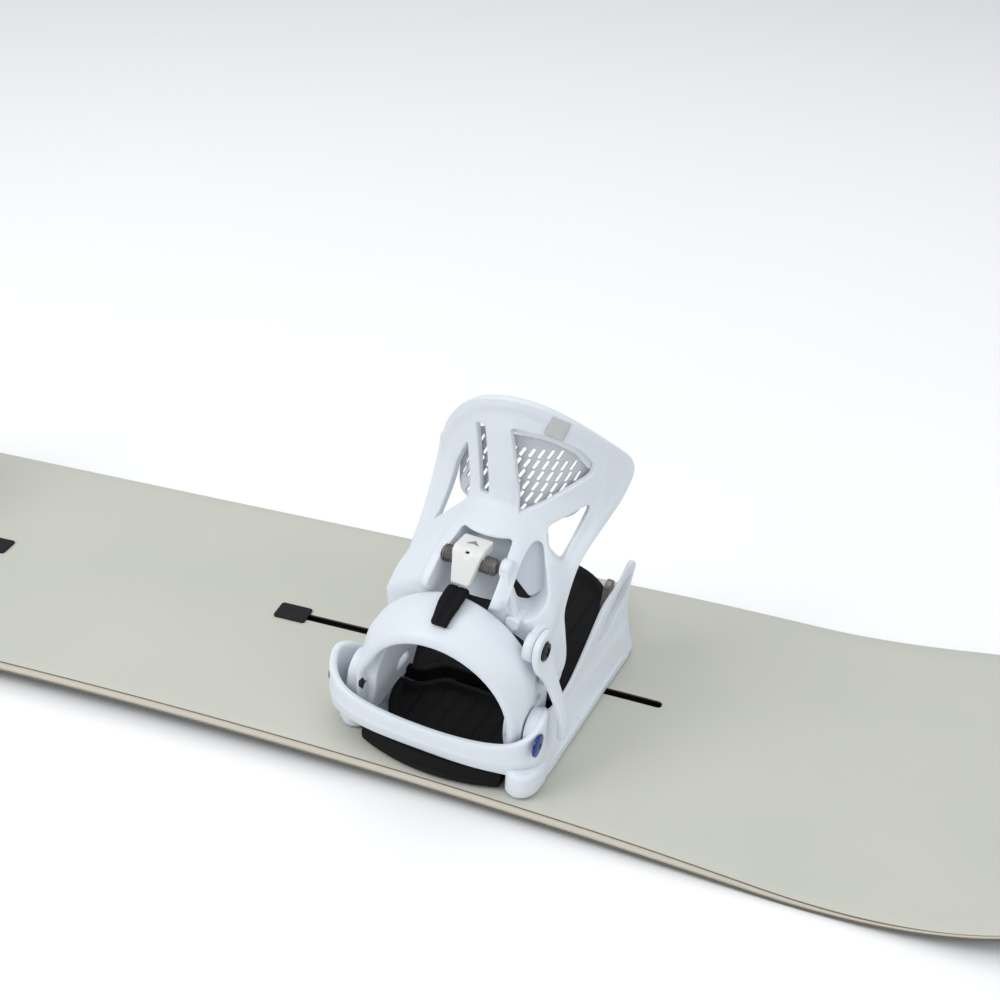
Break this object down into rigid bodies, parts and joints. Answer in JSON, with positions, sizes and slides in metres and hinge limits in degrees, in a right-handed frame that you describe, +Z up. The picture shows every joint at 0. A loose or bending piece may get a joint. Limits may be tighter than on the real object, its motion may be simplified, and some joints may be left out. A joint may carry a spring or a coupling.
{
  "type": "snowboard with step-in bindings",
  "caption": "Cambered all-round snowboard with pale topsheet and white step-in bindings on a sliding channel mount.",
  "frame": {"origin": "on the floor under the middle of the board", "axes": "+X along the board towards the end with the pictured binding, +Y towards the toe edge, +Z up"},
  "size_m": [1.5588, 0.293, 0.2635],
  "materials": {
    "base_black": "ground",
    "edge_steel": "ground",
    "sidewall_cream": "satin",
    "core_wood": "raw",
    "topsheet_grey": "matte with faint mottling",
    "white_plastic": "fine moulded texture",
    "block_plastic": "moulded",
    "panel_grey": "moulded",
    "plate_silver": "brushed",
    "black_rubber": "matte",
    "dark_steel": "dark",
    "blue_metal": "anodised",
    "disc_plastic": "glass filled",
    "rail_plastic": "moulded",
    "cover_black": "moulded"
  },
  "bodies": {
    "board": {"base_sheet": "base_black", "steel_edge": "edge_steel", "sidewall": "sidewall_cream", "wood_core": "core_wood", "topsheet": "topsheet_grey", "right_baseplate": "white_plastic", "right_heel_ring": "white_plastic", "right_heel_arch": "white_plastic", "right_heel_bumper": "black_rubber", "right_heel_pad": "black_rubber", "right_front_pad": "black_rubber", "right_rubber_tab": "black_rubber", "right_hoop_bolt_outer": "blue_metal", "right_hoop_bolt_inner": "dark_steel", "right_mounting_disc": "disc_plastic", "right_disc_screw_a": "dark_steel", "right_disc_screw_b": "dark_steel", "right_nut_plate": "dark_steel", "right_channel_rail": "rail_plastic", "right_channel_cover": "cover_black", "left_baseplate": "white_plastic", "left_heel_ring": "white_plastic", "left_heel_arch": "white_plastic", "left_heel_bumper": "black_rubber", "left_heel_pad": "black_rubber", "left_front_pad": "black_rubber", "left_rubber_tab": "black_rubber", "left_hoop_bolt_outer": "blue_metal", "left_hoop_bolt_inner": "dark_steel", "left_mounting_disc": "disc_plastic", "left_disc_screw_a": "dark_steel", "left_disc_screw_b": "dark_steel", "left_nut_plate": "dark_steel", "left_channel_rail": "rail_plastic", "left_channel_cover": "cover_black"},
    "right_highback": {"right_highback": "white_plastic", "right_mesh_panel": "panel_grey", "right_label_plate": "plate_silver", "right_cross_barrel": "dark_steel"},
    "right_lean_block": {"right_lean_block": "block_plastic"},
    "right_lever": {"right_release_lever": "white_plastic", "right_lever_screw": "dark_steel"},
    "right_latch": {"right_latch_link": "block_plastic", "right_latch_slide": "block_plastic"},
    "right_catch": {"right_heel_catch": "dark_steel"},
    "right_hook_outer": {"right_toe_hook_outer": "dark_steel"},
    "right_hook_inner": {"right_toe_hook_inner": "dark_steel"},
    "left_highback": {"left_highback": "white_plastic", "left_mesh_panel": "panel_grey", "left_label_plate": "plate_silver", "left_cross_barrel": "dark_steel"},
    "left_lean_block": {"left_lean_block": "block_plastic"},
    "left_lever": {"left_release_lever": "white_plastic", "left_lever_screw": "dark_steel"},
    "left_latch": {"left_latch_link": "block_plastic", "left_latch_slide": "block_plastic"},
    "left_catch": {"left_heel_catch": "dark_steel"},
    "left_hook_outer": {"left_toe_hook_outer": "dark_steel"},
    "left_hook_inner": {"left_toe_hook_inner": "dark_steel"}
  },
  "joints": [
    {"name": "right_highback_fold", "type": "hinge", "parent": "board", "child": "right_highback", "pos_m": [0.29916, -0.05955, 0.07798], "axis": [-0.9922, 0.1219, 0.0244], "range_deg": [0, 40]},
    {"name": "right_lean_block_tilt", "type": "hinge", "parent": "right_highback", "child": "right_lean_block", "pos_m": [0.30011, -0.06749, 0.15599], "axis": [-0.9922, 0.1219, 0.0244], "range_deg": [0, 45]},
    {"name": "right_release_lever_lift", "type": "hinge", "parent": "right_highback", "child": "right_lever", "pos_m": [0.35659, -0.09168, 0.11459], "axis": [0.9922, -0.1219, -0.0244], "range_deg": [0, 50], "stiffness_Nm_per_rad": 0.35, "springref_deg": -17.19},
    {"name": "right_latch_slide", "type": "slide", "parent": "right_highback", "child": "right_latch", "axis": [0.0246, 0, 0.9997], "range_m": [0, 0.005], "stiffness_N_per_m": 0.3, "springref_m": 0.1035},
    {"name": "right_heel_catch_swing", "type": "hinge", "parent": "right_highback", "child": "right_catch", "pos_m": [0.30298, -0.04169, 0.14391], "axis": [-0.9922, 0.1219, 0.0244], "range_deg": [0, 10]},
    {"name": "right_toe_hook_outer_swing", "type": "hinge", "parent": "board", "child": "right_hook_outer", "pos_m": [0.36964, 0.03648, 0.04624], "axis": [-0.9922, 0.1219, 0.0244], "range_deg": [0, 12], "stiffness_Nm_per_rad": 0.25, "springref_deg": -8.59},
    {"name": "right_toe_hook_inner_swing", "type": "hinge", "parent": "board", "child": "right_hook_inner", "pos_m": [0.25255, 0.05086, 0.04912], "axis": [-0.9922, 0.1219, 0.0244], "range_deg": [0, 12], "stiffness_Nm_per_rad": 0.25, "springref_deg": -8.59},
    {"name": "left_highback_fold", "type": "hinge", "parent": "board", "child": "left_highback", "pos_m": [-0.29916, -0.05955, 0.07798], "axis": [-0.9922, -0.1219, -0.0244], "range_deg": [0, 40]},
    {"name": "left_lean_block_tilt", "type": "hinge", "parent": "left_highback", "child": "left_lean_block", "pos_m": [-0.30011, -0.06749, 0.15599], "axis": [-0.9922, -0.1219, -0.0244], "range_deg": [0, 45]},
    {"name": "left_release_lever_lift", "type": "hinge", "parent": "left_highback", "child": "left_lever", "pos_m": [-0.35659, -0.09168, 0.11459], "axis": [0.9922, 0.1219, 0.0244], "range_deg": [0, 50], "stiffness_Nm_per_rad": 0.35, "springref_deg": -17.19},
    {"name": "left_latch_slide", "type": "slide", "parent": "left_highback", "child": "left_latch", "axis": [-0.0246, 0, 0.9997], "range_m": [0, 0.005], "stiffness_N_per_m": 0.3, "springref_m": 0.1035},
    {"name": "left_heel_catch_swing", "type": "hinge", "parent": "left_highback", "child": "left_catch", "pos_m": [-0.30298, -0.04169, 0.14391], "axis": [-0.9922, -0.1219, -0.0244], "range_deg": [0, 10]},
    {"name": "left_toe_hook_outer_swing", "type": "hinge", "parent": "board", "child": "left_hook_outer", "pos_m": [-0.36964, 0.03648, 0.04624], "axis": [-0.9922, -0.1219, -0.0244], "range_deg": [0, 12], "stiffness_Nm_per_rad": 0.25, "springref_deg": -8.59},
    {"name": "left_toe_hook_inner_swing", "type": "hinge", "parent": "board", "child": "left_hook_inner", "pos_m": [-0.25255, 0.05086, 0.04912], "axis": [-0.9922, -0.1219, -0.0244], "range_deg": [0, 12], "stiffness_Nm_per_rad": 0.25, "springref_deg": -8.59}
  ],
  "couplings": [
    {"joint": "right_latch_slide", "follows": "right_release_lever_lift", "m_per_rad": 0.0057},
    {"joint": "right_heel_catch_swing", "follows": "right_release_lever_lift", "ratio": 0.2},
    {"joint": "left_latch_slide", "follows": "left_release_lever_lift", "m_per_rad": 0.0057},
    {"joint": "left_heel_catch_swing", "follows": "left_release_lever_lift", "ratio": 0.2}
  ]
}
